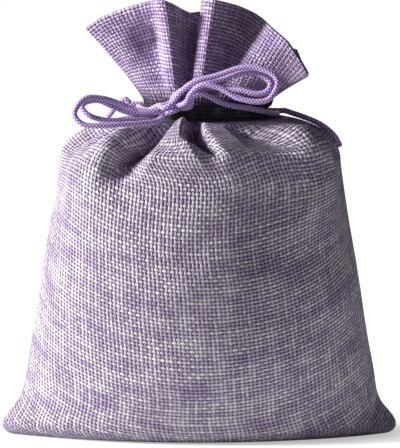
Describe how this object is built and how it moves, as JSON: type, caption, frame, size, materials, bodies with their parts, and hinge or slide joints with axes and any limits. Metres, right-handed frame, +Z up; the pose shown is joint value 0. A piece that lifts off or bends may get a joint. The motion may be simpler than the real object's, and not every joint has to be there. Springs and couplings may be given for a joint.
{
  "type": "lavender sachet",
  "caption": "Stuffed drawstring pouch of plain-weave cloth with a gathered neck, a ruffle and a braided cord tied in a bow, filled with dried lavender to scent a drawer or wardrobe",
  "frame": {"origin": "on the floor under the middle of the pouch", "axes": "+Z up, front with the bow towards -Y, +X to the right seen from the front"},
  "size_m": [0.1272, 0.066, 0.1413],
  "materials": {
    "cloth": "matte",
    "cord": "satin",
    "buds": "matte"
  },
  "bodies": {
    "pouch": {"front_panel": "cloth", "back_panel": "cloth", "lavender_fill": "buds", "left_drawstring": "cord", "right_drawstring": "cord", "bow_knot": "cord"},
    "left_bow": {"left_loop_outer": "cord", "left_loop_inner": "cord"},
    "right_bow": {"right_loop_outer": "cord", "right_loop_inner": "cord"},
    "left_end": {"left_tail": "cord"},
    "right_end": {"right_tail": "cord"}
  },
  "joints": [
    {"name": "left_bow_swing", "type": "hinge", "parent": "pouch", "child": "left_bow", "pos_m": [-0.0095, -0.016, 0.1072], "axis": [0, 1, 0], "range_deg": [-8, 12], "stiffness_Nm_per_rad": 0.003},
    {"name": "right_bow_swing", "type": "hinge", "parent": "pouch", "child": "right_bow", "pos_m": [-0.0095, -0.016, 0.1072], "axis": [0, 1, 0], "range_deg": [-12, 6], "stiffness_Nm_per_rad": 0.003},
    {"name": "left_end_lift", "type": "hinge", "parent": "pouch", "child": "left_end", "pos_m": [-0.0218, 0.0022, 0.1069], "axis": [0.1302, 0.9915, 0], "range_deg": [0, 40]},
    {"name": "right_end_lift", "type": "hinge", "parent": "pouch", "child": "right_end", "pos_m": [0.0268, 0.0022, 0.1048], "axis": [0.1302, -0.9915, 0], "range_deg": [0, 40]}
  ]
}
